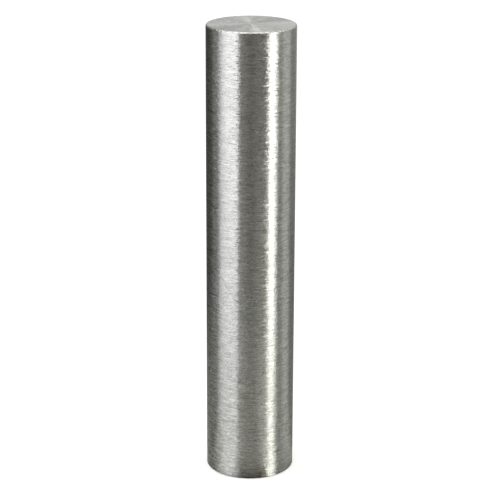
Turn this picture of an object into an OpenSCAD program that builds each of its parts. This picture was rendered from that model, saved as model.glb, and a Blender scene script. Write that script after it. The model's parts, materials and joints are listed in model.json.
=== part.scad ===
// Tungsten rod: a solid bar, ground to size all round, faced square at both
// ends, with each sharp edge broken by a narrow chamfer. It stands on one end.
// Millimetres, +Z up the axis, origin at the centre of the foot's face.

/* [Rod] */
// Diameter of the ground side
rod_d = 12.7; // [3:0.05:50.8]
// Length over the two faced ends
rod_l = 66; // [10:0.5:305]

/* [Top edge] */
// Width of the broken edge, measured in across the top face
top_break_w = 0.2; // [0.05:0.05:1]
// Depth of the broken edge, measured down the side from the top face
top_break_h = 0.2; // [0.05:0.05:1]

/* [Foot edge] */
// Width of the broken edge, measured in across the foot's face
foot_break_w = 0.2; // [0.05:0.05:1]
// Depth of the broken edge, measured up the side from the foot's face
foot_break_h = 0.2; // [0.05:0.05:1]

/* [Hidden] */
rod_r = rod_d / 2;
side_top = rod_l - top_break_h;
round_fn = 192;

// Half of the rod's section, from the axis out to the ground side
module half_section() {
    polygon([
        [0, 0],
        [rod_r - foot_break_w, 0],
        [rod_r, foot_break_h],
        [rod_r, side_top],
        [rod_r - top_break_w, rod_l],
        [0, rod_l]
    ]);
}

module rod() {
    color("#a3a19d")
        rotate_extrude($fn = round_fn)
            half_section();
}

rod();
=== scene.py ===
import json
import math

import bpy
from mathutils import Matrix, Vector

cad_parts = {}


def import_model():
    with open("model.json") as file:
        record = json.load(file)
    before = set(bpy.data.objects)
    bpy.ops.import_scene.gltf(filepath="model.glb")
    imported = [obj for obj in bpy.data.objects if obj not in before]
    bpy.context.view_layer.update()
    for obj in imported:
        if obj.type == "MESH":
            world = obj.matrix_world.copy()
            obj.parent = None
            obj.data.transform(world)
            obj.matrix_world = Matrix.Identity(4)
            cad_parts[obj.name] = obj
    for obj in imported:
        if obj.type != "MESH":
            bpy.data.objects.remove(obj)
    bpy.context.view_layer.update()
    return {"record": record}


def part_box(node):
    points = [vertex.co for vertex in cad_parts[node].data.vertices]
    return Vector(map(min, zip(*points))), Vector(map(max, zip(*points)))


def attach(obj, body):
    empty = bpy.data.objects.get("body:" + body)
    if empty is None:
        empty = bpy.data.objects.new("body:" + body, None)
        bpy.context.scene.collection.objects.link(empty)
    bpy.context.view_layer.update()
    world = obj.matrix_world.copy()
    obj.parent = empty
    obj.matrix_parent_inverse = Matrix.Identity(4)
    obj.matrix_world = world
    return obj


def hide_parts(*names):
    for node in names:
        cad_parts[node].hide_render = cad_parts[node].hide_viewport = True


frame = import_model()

MM = 0.001  # one millimetre in Blender's metres

# ---------------------------------------------------------------- sizes, from the frame

lowest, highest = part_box("rod")
RADIUS = (highest.x - lowest.x) / 2
LENGTH = highest.z - lowest.z
ground_side = next(m for m in frame["record"]["mounts"] if m["name"] == "ground_side")
GROUND_LENGTH = ground_side["dims"]["length_mm"] * MM
EDGE_BREAK = (LENGTH - GROUND_LENGTH) / 2  # the broken edge at each end

# ---------------------------------------------------------------- small helpers

MATH = "ShaderNodeMath"
VECTOR = "ShaderNodeVectorMath"
RANGE = "ShaderNodeMapRange"
MIX = "ShaderNodeMix"  # its inputs 2 and 3 are the two numbers that it mixes
NOISE = "ShaderNodeTexNoise"
COMBINE = "ShaderNodeCombineXYZ"
SEPARATE = "ShaderNodeSeparateXYZ"

NOISE_ROUGHNESS = 0.6  # how strong each finer layer of a noise is, as a share of the one before
WHITE = (1.0, 1.0, 1.0, 1.0)


def linear(hex_colour):
    """An sRGB hex colour, such as "#BCBCB8", as the linear numbers that a shader takes."""
    channels = [int(hex_colour[i:i + 2], 16) / 255 for i in (1, 3, 5)]
    return [c / 12.92 if c <= 0.04045 else ((c + 0.055) / 1.055) ** 2.4 for c in channels] + [1.0]


def add(tree, kind, feed=None, **settings):
    """Adds a node with its settings. feed gives an input, by name or number, a value, a node or a socket."""
    made = tree.nodes.new(kind)
    for name, value in settings.items():
        setattr(made, name, value)
    for key, value in (feed or {}).items():
        if isinstance(value, bpy.types.Node):
            value = value.outputs[0]
        if isinstance(value, bpy.types.NodeSocket):
            tree.links.new(value, made.inputs[key])
        else:
            made.inputs[key].default_value = value
    return made


def empty_tree(owner):
    """The node tree of a new material or world, with nothing in it."""
    owner.use_nodes = True
    owner.node_tree.nodes.clear()
    return owner.node_tree


# ---------------------------------------------------------------- the turned bar

SEGMENTS = 480  # round the bar
FACE_RINGS = 24  # from the centre of an end out to its broken edge
BREAK_RINGS = 6  # across the broken edge
SIDE_RINGS = 14  # from the broken edge to half way along the side
FACE_CROWDING = 2.0  # how fast the rings close up towards the broken edge, on the face
SIDE_CROWDING = 4.0  # and on the side
SHOULDER = 0.45  # 0 is a flat chamfer, 1 a full round
RAGGED = 1.5  # how far the hand-broken edge wanders, as a share of its width
NICKS_PER_RADIUS = 16.0  # how fast it wanders on its way round
NICK_DETAIL = 3.0  # how many layers of smaller nicks it has
SEED = 3.0
TOP_SEED = 10.0  # added to the seed at the top, so that its nicks aren't the foot's
WELD = 0.0005 * MM  # points closer than this become one
BAKE_MAP = "OFBake"  # the bar's own map, which its finishes are baked on

# What the bar is turned from: an input's name, its kind, its least value and the value that it gets.
INPUTS = (
    ("Radius", "NodeSocketFloat", 0.0, RADIUS),
    ("Length", "NodeSocketFloat", 0.0, LENGTH),
    ("Edge break", "NodeSocketFloat", 0.0, EDGE_BREAK),
    ("Shoulder", "NodeSocketFloat", 0.0, SHOULDER),
    ("Ragged", "NodeSocketFloat", 0.0, RAGGED),
    ("Nicks", "NodeSocketFloat", 0.0, NICKS_PER_RADIUS),
    ("Seed", "NodeSocketFloat", 0.0, SEED),
    ("Segments", "NodeSocketInt", 3, SEGMENTS),
)


def turned_bar_tree(side, end, edge):
    """Geometry nodes that turn the bar from its half profile. Both ends are alike, so the profile runs from
    the centre of an end to half way along the side, and the other half mirrors it."""
    tree = bpy.data.node_groups.new("turned_bar", "GeometryNodeTree")
    sockets = {}
    for name, kind, least, _ in INPUTS:
        socket = tree.interface.new_socket(name, in_out="INPUT", socket_type=kind)
        socket.min_value = least
        sockets[name] = socket.identifier
    tree.interface.new_socket("Geometry", in_out="OUTPUT", socket_type="NodeSocketGeometry")
    given = add(tree, "NodeGroupInput").outputs

    # A flat grid: its columns go round the bar, its rows are the rings from the foot's centre to the top's.
    half_rings = FACE_RINGS + BREAK_RINGS + SIDE_RINGS
    grid = add(tree, "GeometryNodeMeshGrid", {
        "Size X": 1.0,
        "Size Y": 1.0,
        "Vertices X": add(tree, MATH, {0: given["Segments"], 1: 1.0}, operation="ADD"),
        "Vertices Y": 2 * half_rings + 1,
    })
    place = add(tree, SEPARATE, {0: grid.outputs["UV Map"]}).outputs
    turn = add(tree, MATH, {0: place["X"], 1: 2 * math.pi}, operation="MULTIPLY")
    cosine = add(tree, MATH, {0: turn}, operation="COSINE")
    sine = add(tree, MATH, {0: turn}, operation="SINE")
    from_middle = add(tree, MATH, {0: place["Y"], 1: 0.5}, operation="SUBTRACT")
    upper_half = add(tree, MATH, {0: from_middle, 1: 0.0}, operation="GREATER_THAN")
    ring = add(tree, MATH, {
        0: add(tree, MATH, {0: from_middle}, operation="ABSOLUTE"),
        1: -2.0 * half_rings,
        2: half_rings,
    }, operation="MULTIPLY_ADD")

    # The broken edge, narrower and wider on its way round.
    outward = add(tree, COMBINE, {"X": cosine, "Y": sine})
    wander = add(tree, NOISE, {
        "Vector": add(tree, VECTOR, {0: outward, "Scale": given["Nicks"]}, operation="SCALE"),
        "W": add(tree, MATH, {0: upper_half, 1: TOP_SEED, 2: given["Seed"]}, operation="MULTIPLY_ADD"),
        "Scale": 1.0,
        "Detail": NICK_DETAIL,
        "Roughness": NOISE_ROUGHNESS,
    }, noise_dimensions="4D")
    swing = add(tree, MATH, {
        0: add(tree, MATH, {0: wander, 1: 0.5}, operation="SUBTRACT"),
        1: given["Ragged"],
        2: 1.0,
    }, operation="MULTIPLY_ADD")
    broken = add(tree, MATH, {0: given["Edge break"], 1: swing}, operation="MULTIPLY")

    # How far a point is through each zone, from 0 to 1. The rings crowd towards the broken edge, so that the
    # shading of the face and the side stays flat up to it.
    through = [add(tree, RANGE, {"Value": ring, "From Min": float(first), "From Max": float(last)})
               for first, last in ((0, FACE_RINGS), (FACE_RINGS, FACE_RINGS + BREAK_RINGS),
                                   (FACE_RINGS + BREAK_RINGS, half_rings))]
    face_left = add(tree, MATH, {
        0: add(tree, MATH, {0: 1.0, 1: through[0]}, operation="SUBTRACT"),
        1: FACE_CROWDING,
    }, operation="POWER")
    across_face = add(tree, MATH, {0: 1.0, 1: face_left}, operation="SUBTRACT")
    along_side = add(tree, MATH, {0: through[2], 1: SIDE_CROWDING}, operation="POWER")
    quarter = add(tree, MATH, {0: through[1], 1: math.pi / 2}, operation="MULTIPLY")
    round_out = add(tree, MATH, {0: quarter}, operation="SINE")
    round_up = add(tree, MATH, {
        0: 1.0,
        1: add(tree, MATH, {0: quarter}, operation="COSINE"),
    }, operation="SUBTRACT")
    shoulder_out, shoulder_up = (
        add(tree, MIX, {"Factor": given["Shoulder"], 2: through[1], 3: full_round}, data_type="FLOAT")
        for full_round in (round_out, round_up))

    face_radius = add(tree, MATH, {0: given["Radius"], 1: broken}, operation="SUBTRACT")
    radius = add(tree, MATH, {
        0: broken,
        1: shoulder_out,
        2: add(tree, MATH, {0: face_radius, 1: across_face}, operation="MULTIPLY"),
    }, operation="MULTIPLY_ADD")
    half_length = add(tree, MATH, {0: given["Length"], 1: 0.5}, operation="MULTIPLY")
    half_side = add(tree, MATH, {0: half_length, 1: broken}, operation="SUBTRACT")
    from_end = add(tree, MATH, {
        0: broken,
        1: shoulder_up,
        2: add(tree, MATH, {0: half_side, 1: along_side}, operation="MULTIPLY"),
    }, operation="MULTIPLY_ADD")
    from_top = add(tree, MATH, {0: given["Length"], 1: from_end}, operation="SUBTRACT")
    height = add(tree, MIX, {"Factor": upper_half, 2: from_end, 3: from_top}, data_type="FLOAT")

    # The map for baking is the skin unrolled: round the bar across it, along the profile up it.
    profile = add(tree, MATH, {0: radius, 1: from_end}, operation="ADD")
    half_profile = add(tree, MATH, {0: given["Radius"], 1: half_length}, operation="ADD")
    map_low = add(tree, MATH, {
        0: add(tree, MATH, {0: profile, 1: half_profile}, operation="DIVIDE"),
        1: 0.5,
    }, operation="MULTIPLY")
    map_high = add(tree, MATH, {0: 1.0, 1: map_low}, operation="SUBTRACT")
    map_up = add(tree, MIX, {"Factor": upper_half, 2: map_low, 3: map_high}, data_type="FLOAT")
    mapped = add(tree, "GeometryNodeStoreNamedAttribute", {
        "Geometry": grid.outputs["Mesh"],
        "Name": BAKE_MAP,
        "Value": add(tree, COMBINE, {"X": place["X"], "Y": map_up}).outputs[0],
    }, data_type="FLOAT2", domain="CORNER")

    turned = add(tree, "GeometryNodeSetPosition", {
        "Geometry": mapped,
        "Position": add(tree, COMBINE, {
            "X": add(tree, MATH, {0: radius, 1: cosine}, operation="MULTIPLY"),
            "Y": add(tree, MATH, {0: radius, 1: sine}, operation="MULTIPLY"),
            "Z": height,
        }),
    })
    closed = add(tree, "GeometryNodeMergeByDistance", {"Geometry": turned, "Distance": WELD})
    smooth = add(tree, "GeometryNodeSetShadeSmooth", {"Geometry": closed})
    shown = add(tree, "GeometryNodeRealizeInstances", {"Geometry": smooth})
    for material, first_ring in ((end, 0), (edge, FACE_RINGS), (side, FACE_RINGS + BREAK_RINGS)):
        shown = add(tree, "GeometryNodeSetMaterial", {
            "Geometry": shown,
            "Selection": add(tree, MATH, {0: ring, 1: float(first_ring)}, operation="GREATER_THAN"),
            "Material": material,
        })
    add(tree, "NodeGroupOutput", {"Geometry": shown})
    return tree, sockets


def turned_bar(name, side, end, edge):
    """The finished bar as a plain mesh, stood on its foot at the origin."""
    tree, sockets = turned_bar_tree(side, end, edge)
    blank = bpy.data.objects.new(name + "_blank", bpy.data.meshes.new(name + "_blank"))
    bpy.context.scene.collection.objects.link(blank)
    turning = blank.modifiers.new("turning", "NODES")
    turning.node_group = tree
    for size, _, _, value in INPUTS:
        turning[sockets[size]] = value
    depsgraph = bpy.context.evaluated_depsgraph_get()
    mesh = bpy.data.meshes.new_from_object(blank.evaluated_get(depsgraph))
    mesh.materials.pop(index=0)  # the blank's empty slot, which no face uses
    bpy.data.objects.remove(blank)
    bar = bpy.data.objects.new(name, mesh)
    bpy.context.scene.collection.objects.link(bar)
    return bar


# ---------------------------------------------------------------- finishes

TUNGSTEN = "#BCBCB8"  # bright tungsten: a mid grey, a touch warmer than steel
ANISOTROPY = 1.0  # all of the gloss spreads one way
QUARTER_TURN = 0.25

# Noises, each with its length round the bar, its width up it, its detail, and a start that sets it apart
# from the others. A grinding wheel's marks are a few hundredths of a millimetre across, too fine to show, so
# they are drawn coarser, at the least size that shows.
FINE_MARKS = (0.3 * MM, 0.13 * MM, 1.0, 0.0)
LONG_MARKS = (1.6 * MM, 0.2 * MM, 1.0, 3.1)
LEANING_MARKS = (0.8 * MM, 0.12 * MM, 1.0, 11.0)
CLOUDS = (1.8 * MM, 0.4 * MM, 2.0, 7.3)  # patches where the wheel cut a little harder
BLOTCHES = (1.2 * MM, 1.2 * MM, 3.0, 5.0)  # where a faced end is cleaner or duller
FACETS = (0.3 * MM, 0.3 * MM, 2.0, 9.0)  # what the stone left on a broken edge
GRID_TURN = (0.9, 0.6, 0.3)  # keeps the noise's own grid, in radians, out of line with the marks

# The ground side: what each noise does to the tone, to the height of the marks and to the roughness.
GROUND_TONE = 0.97
FINE_TONE = 1.4
LONG_TONE = 1.05
CLOUD_TONE = 0.3
MARK_DEPTH = 0.02 * MM
FINE_HEIGHT = 0.8
LONG_HEIGHT = 0.5
GROUND_ROUGHNESS = 0.34
FINE_ROUGHNESS = 0.1
CLOUD_ROUGHNESS = 0.06
LEAN = 0.062  # how far a mark leans to one side, as a slope
DEEP = 0.05  # the swing past which a mark is a deep one
DEEP_LEAN = 0.55  # how much further a deep one leans, always the way that the wheel pushed
DEEP_ROUGHNESS = 0.6  # and how much rougher it is

# How hard the wheel bit, by azimuth in degrees from the camera's side: where a step starts and stops, and
# the strength of the marks, where 1 is the usual, before it and after it. Then the same at the foot and top.
BITES = ((-58, -42, 2.0, 1.0), (-20, -10, 0.85, 1.0))
FOOT_BITE = 1.05
TOP_BITE = 0.8

# A faced end: the tool leaves rings about the axis.
RING_PITCH = 0.14 * MM
RING_DEPTH = 0.012 * MM
RING_WANDER = 3.0  # how many times a ring changes in one radian round the axis
RING_DETAIL = 2.0
FACED_TONE = 0.86
RING_TONE = 0.8
BLOTCH_TONE = 0.5
FACED_ROUGHNESS = 0.25
BLOTCH_ROUGHNESS = 0.1

# A broken edge: the stone leaves facets.
FACET_DEPTH = 0.12 * MM
# The edge's tone is set above the side's: partly a painted highlight that brightens the thin line of light
# along the rim.
EDGE_TONE_AND_HIGHLIGHT = 1.09
FACET_TONE = 2.0
EDGE_ROUGHNESS = 0.34
FACET_ROUGHNESS = 0.3

# Marks from handling on the side: azimuth in degrees, height, then length round the bar and width up it, all
# in mm, and the tone that they leave, where 1 is the metal round them.
HANDLING_MARKS = (
    (-75.3, 58.3, 0.22, 0.30, 1.9),
    (17.6, 45.3, 0.30, 0.20, 0.30),
    (24.6, 41.5, 0.30, 0.16, 0.45),
    (31.7, 22.4, 0.34, 0.18, 0.45),
    (26.1, 4.6, 0.28, 0.20, 0.40),
    (-22.9, 60.8, 1.30, 0.14, 0.72),
    (-25.6, 55.6, 1.50, 0.14, 0.70),
    (-28.4, 16.4, 1.10, 0.13, 0.74),
    (-66.5, 14.5, 0.90, 0.14, 0.72),
    (3.3, 32.1, 2.60, 0.12, 0.82),
)
FADE_START = 0.5  # where such a mark starts to fade and where it ends, as shares of half its size
FADE_STOP = 1.1


def marks(tree, place, noise):
    """Tool marks as a noise from 0 to 1, lying level. noise is one of the rows above."""
    along, across, detail, start = noise
    stretched = add(tree, "ShaderNodeMapping", {
        "Vector": place,
        "Location": (start, start, start),
        "Rotation": GRID_TURN,
        "Scale": (1 / along, 1 / along, 1 / across),
    })
    return add(tree, NOISE, {
        "Vector": stretched,
        "Scale": 1.0,
        "Detail": detail,
        "Roughness": NOISE_ROUGHNESS,
    })


def weighed(tree, middle, *parts):
    """middle plus each noise's swing about one half times its weight."""
    total = middle
    for noise, weight in parts:
        total = add(tree, MATH, {
            0: add(tree, MATH, {0: noise, 1: 0.5}, operation="SUBTRACT"),
            1: weight,
            2: total,
        }, operation="MULTIPLY_ADD")
    return total


def tungsten(tree, tone, roughness, bump):
    """The shader and the output of a finish; tone multiplies the metal's colour. The tangent runs round the
    bar, and a quarter turn sets the gloss to spread across the tool marks, which run round it too."""
    shader = add(tree, "ShaderNodeBsdfPrincipled", {
        "Base Color": add(tree, VECTOR, {0: linear(TUNGSTEN)[:3], "Scale": tone}, operation="SCALE"),
        "Metallic": 1.0,
        "Roughness": roughness,
        "Normal": bump,
        "Anisotropic": ANISOTROPY,
        "Anisotropic Rotation": QUARTER_TURN,
        "Tangent": add(tree, "ShaderNodeTangent", direction_type="RADIAL", axis="Z"),
    })
    add(tree, "ShaderNodeOutputMaterial", {"Surface": shader})


def wheel_bite(tree, turn, height):
    """How hard the wheel bit at a point: hardest from the left flank round to the middle of the back, a
    little less just in front of the flank, and harder low down than high up."""
    bite = add(tree, RANGE, {
        "Value": height,
        "From Max": LENGTH,
        "To Min": FOOT_BITE,
        "To Max": TOP_BITE,
    })
    for start, stop, first, last in BITES:
        step = add(tree, RANGE, {
            "Value": turn,
            "From Min": math.radians(start),
            "From Max": math.radians(stop),
            "To Min": first,
            "To Max": last,
        }, interpolation_type="SMOOTHSTEP")
        bite = add(tree, MATH, {0: bite, 1: step}, operation="MULTIPLY")
    return bite


def handling(tree, turn, height):
    """The tone that handling left at a point, which is 1 away from its marks."""
    unrolled = add(tree, COMBINE, {
        "X": add(tree, MATH, {0: turn, 1: RADIUS}, operation="MULTIPLY"),
        "Y": height,
    })
    so_far = 1.0
    for azimuth, up, length, width, tone in HANDLING_MARKS:
        away = add(tree, VECTOR, {
            0: unrolled,
            1: (math.radians(azimuth) * RADIUS, up * MM, 0.0),
        }, operation="SUBTRACT")
        in_halves = add(tree, VECTOR, {
            0: away,
            1: (2 / (length * MM), 2 / (width * MM), 0.0),
        }, operation="MULTIPLY")
        patch = add(tree, RANGE, {
            "Value": add(tree, VECTOR, {0: in_halves}, operation="LENGTH").outputs["Value"],
            "From Min": FADE_START,
            "From Max": FADE_STOP,
            "To Min": tone,
            "To Max": 1.0,
        }, interpolation_type="SMOOTHSTEP")
        so_far = add(tree, MATH, {0: so_far, 1: patch}, operation="MULTIPLY")
    return so_far


def centreless_ground():
    """Ground between wheels and not polished: short level marks, some longer, on a bright metal. The eye
    sees tall bands of light with bristling edges, and grey patches where the wheel bit harder."""
    material = bpy.data.materials.new("centreless_ground_tungsten")
    tree = empty_tree(material)
    place = add(tree, "ShaderNodeTexCoord").outputs["Object"]
    fine = marks(tree, place, FINE_MARKS)
    long = marks(tree, place, LONG_MARKS)
    cloud = marks(tree, place, CLOUDS)

    # Where a point lies on the side: its azimuth from the camera's side and its height.
    axes = add(tree, SEPARATE, {0: place}).outputs
    front = add(tree, MATH, {0: axes["Y"], 1: -1.0}, operation="MULTIPLY")
    turn = add(tree, MATH, {0: axes["X"], 1: front}, operation="ARCTAN2")
    worn = add(tree, MATH, {
        0: weighed(tree, 0.0, (fine, FINE_TONE), (long, LONG_TONE), (cloud, CLOUD_TONE)),
        1: wheel_bite(tree, turn, axes["Z"]),
        2: GROUND_TONE,
    }, operation="MULTIPLY_ADD")
    tone = add(tree, MATH, {0: worn, 1: handling(tree, turn, axes["Z"])}, operation="MULTIPLY")

    # Marks lean to either side, and deep ones further to one of them. That makes a band of light bristle at
    # its edges and throws fine streaks into the dark beside it.
    swing = add(tree, MATH, {0: marks(tree, place, LEANING_MARKS), 1: 0.5}, operation="SUBTRACT")
    past = add(tree, MATH, {
        0: add(tree, MATH, {0: swing, 1: DEEP}, operation="SUBTRACT"),
        1: 0.0,
    }, operation="MAXIMUM")
    slope = add(tree, MATH, {
        0: past,
        1: DEEP_LEAN,
        2: add(tree, MATH, {0: swing, 1: LEAN}, operation="MULTIPLY"),
    }, operation="MULTIPLY_ADD")
    sideways = add(tree, VECTOR, {
        0: add(tree, "ShaderNodeTangent", direction_type="RADIAL", axis="Z"),
        "Scale": slope,
    }, operation="SCALE")
    leant = add(tree, VECTOR, {
        0: add(tree, "ShaderNodeNewGeometry").outputs["Normal"],
        1: sideways,
    }, operation="ADD")
    bump = add(tree, "ShaderNodeBump", {
        "Strength": 1.0,
        "Distance": MARK_DEPTH,
        "Height": weighed(tree, 0.5, (fine, FINE_HEIGHT), (long, LONG_HEIGHT)),
        "Normal": add(tree, VECTOR, {0: leant}, operation="NORMALIZE"),
    })
    rough = add(tree, MATH, {
        0: past,
        1: DEEP_ROUGHNESS,
        2: weighed(tree, GROUND_ROUGHNESS, (cloud, CLOUD_ROUGHNESS), (fine, FINE_ROUGHNESS)),
    }, operation="MULTIPLY_ADD")
    tungsten(tree, tone, rough, bump)
    return material


def faced_end():
    """Cut off and faced square: fine rings about the axis. The eye sees an even grey, with a faint bright
    streak from rim to rim where the rings line up with a light."""
    material = bpy.data.materials.new("faced_tungsten")
    tree = empty_tree(material)
    place = add(tree, "ShaderNodeTexCoord").outputs["Object"]
    level = add(tree, VECTOR, {0: place, 1: (1.0, 1.0, 0.0)}, operation="MULTIPLY")
    outward = add(tree, VECTOR, {
        0: add(tree, VECTOR, {0: level}, operation="NORMALIZE"),
        "Scale": RING_WANDER,
    }, operation="SCALE")
    radius = add(tree, VECTOR, {0: level}, operation="LENGTH").outputs["Value"]
    axes = add(tree, SEPARATE, {0: outward}).outputs
    rings = add(tree, NOISE, {
        "Vector": add(tree, COMBINE, {
            "X": axes["X"],
            "Y": axes["Y"],
            "Z": add(tree, MATH, {0: radius, 1: RING_PITCH}, operation="DIVIDE"),
        }),
        "Scale": 1.0,
        "Detail": RING_DETAIL,
        "Roughness": NOISE_ROUGHNESS,
    })
    blotch = marks(tree, place, BLOTCHES)
    tone = weighed(tree, FACED_TONE, (rings, RING_TONE), (blotch, BLOTCH_TONE))
    rough = weighed(tree, FACED_ROUGHNESS, (blotch, BLOTCH_ROUGHNESS))
    bump = add(tree, "ShaderNodeBump", {"Strength": 1.0, "Distance": RING_DEPTH, "Height": rings})
    tungsten(tree, tone, rough, bump)
    return material


def broken_edge():
    """The sharp corner taken off by hand with a stone: small uneven facets. The eye sees a thin bright line,
    dotted with dark nicks; the edge's tone is lifted above the side's, a painted highlight that brightens
    that line."""
    material = bpy.data.materials.new("hand_broken_tungsten_edge")
    tree = empty_tree(material)
    facets = marks(tree, add(tree, "ShaderNodeTexCoord").outputs["Object"], FACETS)
    tone = weighed(tree, EDGE_TONE_AND_HIGHLIGHT, (facets, FACET_TONE))
    rough = weighed(tree, EDGE_ROUGHNESS, (facets, FACET_ROUGHNESS))
    bump = add(tree, "ShaderNodeBump", {"Strength": 1.0, "Distance": FACET_DEPTH, "Height": facets})
    tungsten(tree, tone, rough, bump)
    return material


rod = turned_bar("ground_rod", centreless_ground(), faced_end(), broken_edge())
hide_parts("rod")
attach(rod, "root")

# ---------------------------------------------------------------- camera

FRAME_PIXELS = 500
SENSOR = 36.0  # in mm, as Blender has it
CAMERA_BACK = 38.46 * RADIUS
CAMERA_UP = 17.73 * RADIUS
CAMERA_RIGHT = -0.0115 * RADIUS
CAMERA_PITCH = math.radians(18.02)
CAMERA_ROLL = math.radians(-0.21)
FOCAL_PIXELS = 1786.4
CLIP_START = 10 * MM


def camera():
    """Stands in front of the bar, a little above its top, and looks down at it."""
    data = bpy.data.cameras.new("camera")
    data.sensor_width = SENSOR
    data.lens = SENSOR * FOCAL_PIXELS / FRAME_PIXELS
    data.clip_start = CLIP_START
    seen = bpy.data.objects.new("camera", data)
    bpy.context.scene.collection.objects.link(seen)
    tilt = Matrix.Rotation(math.pi / 2 - CAMERA_PITCH, 4, "X")
    roll = Matrix.Rotation(-CAMERA_ROLL, 4, "Z")
    seen.matrix_world = Matrix.Translation((CAMERA_RIGHT, -CAMERA_BACK, CAMERA_UP)) @ tilt @ roll
    bpy.context.scene.camera = seen


camera()

# ---------------------------------------------------------------- studio

FLOOR_SIZE = 4.0
FLOOR_COLOUR = "#DCDCDA"
FLOOR_ROUGHNESS = 0.9
FLOOR_GLOW = 0.43  # added for the eye, so that the lit floor reads as white and its shadow stays soft
WORLD_FILL = 0.95  # what matt surfaces get of the white world
WALL_COLOUR = "#FCFEF8"
WINDOW_COLOUR = "#F7F8FE"
TABLE_COLOUR = "#FFFFF6"
ROOM_COLOUR = "#FFF1EA"
SHADE_COLOUR = "#8A6818"

# Two soft boxes light the floor and whatever is matt: a name, the azimuth in degrees and the width.
SOFT_BOXES = (
    ("left_soft_box", -59, 360 * MM),
    ("right_soft_box", 57, 200 * MM),
)
BOX_HEIGHT = 300 * MM
BOX_DISTANCE = 400 * MM
BOX_ELEVATION = math.radians(35)
BOX_RADIANCE = 0.6

# A narrow strip light behind and above, leaning over. Its ends are given by azimuth, distance and height.
STRIP_ENDS = ((178.2, 207 * MM, 206 * MM), (169.3, 125 * MM, 283 * MM))
STRIP_HALF_WIDTH = 10 * MM
STRIP_BRIGHTNESS = 2.6

# The room that the bar mirrors, as distances from the axis and heights.
FOOT_RIM = 7.2 * MM
FOOT_EDGE = 9 * MM
TABLE_EDGE = 60 * MM
SILL_EDGE = 150 * MM
WALL = 260 * MM
PANEL_OUTER = 150 * MM
PANEL_INNER = 50 * MM
TABLE_TOP = 0.05 * MM
WALL_BREAK = 110 * MM
SHADE_FOOT = 190 * MM
WALL_TOP = 330 * MM
CEILING = 350 * MM
CARD_STEP = 3  # degrees from one fold of a card to the next

# Cards on the table and round it that only gloss sees. Each zone is a section, as pairs of distance from
# the axis and height, swept round the bar. Its steps give, from azimuth -180, the azimuth where each card
# ends and how bright it is, where 1 is white. Nothing is put where the brightness is None.
ZONES = (
    # The foot zones are painted shade and light for the gloss: dark cards round the foot stand in for the
    # bar's contact shadow on the table, and their brighter stretches for the lit table beside it.
    ("foot_shadow_line", [(RADIUS - EDGE_BREAK, TABLE_TOP), (RADIUS, TABLE_TOP)], SHADE_COLOUR, ((180, 0.05),)),
    ("foot_rim", [(RADIUS, TABLE_TOP), (FOOT_RIM, TABLE_TOP)], TABLE_COLOUR,
     ((-85, 0.3), (-28, 0.3), (26, None), (38, 1.3), (180, 0.15))),
    ("foot", [(FOOT_RIM, TABLE_TOP), (FOOT_EDGE, TABLE_TOP)], TABLE_COLOUR,
     ((-85, 0.5), (-58, 0.25), (-28, 1.0), (26, None), (44, 1.9), (70, 0.25), (180, 0.5))),
    ("foot_shade", [(RADIUS, TABLE_TOP), (FOOT_EDGE, TABLE_TOP)], SHADE_COLOUR,
     ((-28, None), (16, 0.1), (26, 0.5))),
    ("near_table", [(FOOT_EDGE, TABLE_TOP), (TABLE_EDGE, TABLE_TOP)], TABLE_COLOUR,
     ((-110, 0.4), (-85, 0.3), (-32, 0.6), (-10, 0.65), (20, 0.5), (40, 0.85), (55, 1.5), (89, 0.35),
      (116, 0.55), (180, 0.25))),
    ("sill", [(TABLE_EDGE, TABLE_TOP), (SILL_EDGE, TABLE_TOP)], WALL_COLOUR, ((-85, None), (-32, 1.2))),
    ("far_sill", [(SILL_EDGE, TABLE_TOP), (WALL, TABLE_TOP)], WINDOW_COLOUR, ((-85, None), (-32, 1.4))),
    ("room", [(TABLE_EDGE, TABLE_TOP), (WALL, TABLE_TOP)], ROOM_COLOUR,
     ((-32, None), (-10, 0.35), (10, 0.07), (45, 0.25))),
    ("far_table", [(TABLE_EDGE, TABLE_TOP), (WALL, TABLE_TOP)], WALL_COLOUR,
     ((-85, 0.1), (45, None), (61, 3.4), (89, 0.05), (116, 0.6), (180, 0.15))),
    ("low_wall", [(WALL, TABLE_TOP), (WALL, WALL_BREAK)], WALL_COLOUR,
     ((-162, 0.3), (-110, 0.05), (-90, 0.5), (-32, None), (49, 0.05), (69, 5.0), (89, 0.6), (116, 0.9),
      (155, 0.35), (180, 0.6))),
    ("high_wall", [(WALL, WALL_BREAK), (WALL, WALL_TOP)], WALL_COLOUR,
     ((-155, None), (-130, 0.2), (-90, 0.5), (-32, None), (50, 0.05), (69, 5.4), (84, 0.3), (180, None))),
    ("window", [(WALL, TABLE_TOP), (WALL, WALL_BREAK), (WALL, WALL_TOP)], WINDOW_COLOUR,
     ((-90, None), (-80, 1.4), (-68, 2.1), (-32, 2.8))),
    ("rear_shade", [(WALL, SHADE_FOOT), (WALL, WALL_TOP), (PANEL_OUTER, CEILING)], WALL_COLOUR,
     ((-165, 0.45),)),
    ("ceiling", [(WALL, WALL_TOP), (PANEL_OUTER, CEILING)], WALL_COLOUR,
     ((-165, None), (-155, 0.6), (-32, None), (48, 0.05), (155, None), (180, 0.6))),
    ("top_panel", [(PANEL_OUTER, CEILING), (PANEL_INNER, CEILING)], WALL_COLOUR, ((-120, None), (60, 6.2))),
)


def polar(azimuth, distance, height):
    """A point by its azimuth from the camera's side of the bar, in degrees and positive to the right."""
    a = math.radians(azimuth)
    return Vector((distance * math.sin(a), -distance * math.cos(a), height))


def seen_by_eye(tree):
    """1 for camera, glossy and transmission rays, so that metal shows what the camera sees; else 0."""
    rays = add(tree, "ShaderNodeLightPath").outputs
    gloss = add(tree, MATH, {0: rays["Is Glossy Ray"], 1: rays["Is Transmission Ray"]}, operation="MAXIMUM")
    return add(tree, MATH, {0: rays["Is Camera Ray"], 1: gloss}, operation="MAXIMUM")


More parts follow.
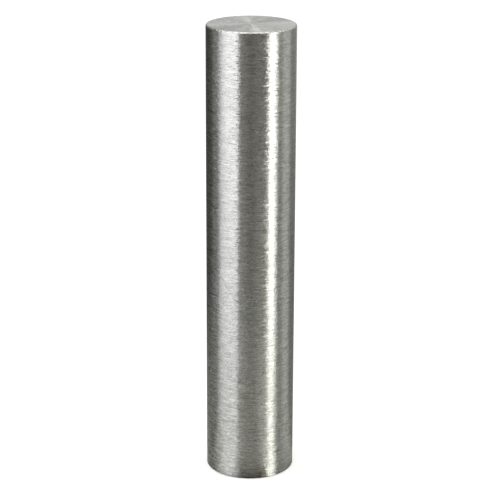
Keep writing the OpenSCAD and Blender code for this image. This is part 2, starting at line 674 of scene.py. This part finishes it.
def world():
    """Pure white to the eye and in the metal, and a little less as a light."""
    made = bpy.data.worlds.new("studio")
    tree = empty_tree(made)
    strength = add(tree, RANGE, {"Value": seen_by_eye(tree), "To Min": WORLD_FILL, "To Max": 1.0})
    back = add(tree, "ShaderNodeBackground", {"Color": WHITE, "Strength": strength})
    add(tree, "ShaderNodeOutputWorld", {"Surface": back})
    bpy.context.scene.world = made


def stage_piece(name, verts, faces, fill):
    """A piece of the studio as a mesh. fill(tree) gives the node that its surface comes from."""
    mesh = bpy.data.meshes.new(name)
    mesh.from_pydata(verts, [], faces)
    made = bpy.data.objects.new(name, mesh)
    bpy.context.scene.collection.objects.link(made)
    material = bpy.data.materials.new(name)
    tree = empty_tree(material)
    add(tree, "ShaderNodeOutputMaterial", {"Surface": fill(tree)})
    mesh.materials.append(material)
    return made


def glossy_only_piece(name, verts, faces, colour, brightness):
    """A glowing piece of the studio that only the metal's gloss sees."""
    made = stage_piece(name, verts, faces, lambda tree: add(tree, "ShaderNodeEmission", {
        "Color": linear(colour),
        "Strength": brightness,
    }))
    made.visible_camera = False
    made.visible_diffuse = False
    made.visible_shadow = False
    made.visible_transmission = False


def floor():
    """Matt and nearly white."""
    half = FLOOR_SIZE / 2
    corners = [(x * half, y * half, 0.0) for x, y in ((-1, -1), (1, -1), (1, 1), (-1, 1))]
    stage_piece("floor", corners, [(0, 1, 2, 3)], lambda tree: add(tree, "ShaderNodeBsdfPrincipled", {
        "Base Color": linear(FLOOR_COLOUR),
        "Roughness": FLOOR_ROUGHNESS,
        "Specular IOR Level": 0.0,
        "Emission Color": WHITE,
        "Emission Strength": add(tree, MATH, {0: seen_by_eye(tree), 1: FLOOR_GLOW}, operation="MULTIPLY"),
    }))


def card(name, start, stop, section, colour, brightness):
    """A card that sweeps its section from azimuth start to stop."""
    steps = max(2, round(abs(stop - start) / CARD_STEP))
    row = len(section)
    verts = [polar(start + (stop - start) * i / steps, distance, height)
             for i in range(steps + 1) for distance, height in section]
    faces = [(at, at + 1, at + row + 1, at + row)
             for i in range(steps) for at in range(i * row, i * row + row - 1)]
    glossy_only_piece(name, verts, faces, colour, brightness)


def back_strip():
    """The light that draws the streak across the top face."""
    low, high = (polar(*end) for end in STRIP_ENDS)
    side = Vector((STRIP_HALF_WIDTH, 0, 0))
    verts = [low - side, low + side, high + side, high - side]
    glossy_only_piece("back_strip", verts, [(0, 1, 2, 3)], WALL_COLOUR, STRIP_BRIGHTNESS)


def soft_box(name, azimuth, width):
    """An area light turned to the middle of the bar. The cards stand in for it in the gloss."""
    data = bpy.data.lights.new(name, "AREA")
    data.shape = "RECTANGLE"
    data.size = width
    data.size_y = BOX_HEIGHT
    data.energy = BOX_RADIANCE * width * BOX_HEIGHT * math.pi
    made = bpy.data.objects.new(name, data)
    bpy.context.scene.collection.objects.link(made)
    middle = Vector((0, 0, LENGTH / 2))
    level = BOX_DISTANCE * math.cos(BOX_ELEVATION)
    made.location = middle + polar(azimuth, level, BOX_DISTANCE * math.sin(BOX_ELEVATION))
    made.rotation_euler = (middle - made.location).to_track_quat("-Z", "Y").to_euler()
    made.visible_camera = False
    made.visible_glossy = False


world()
floor()
back_strip()
for name, azimuth, width in SOFT_BOXES:
    soft_box(name, azimuth, width)
for zone, section, colour, steps in ZONES:
    start = -180
    for stop, brightness in steps:
        if brightness is not None:
            card(f"{zone}_card_{stop}", start, stop, section, colour, brightness)
        start = stop

bpy.context.scene.view_settings.view_transform = "Standard"
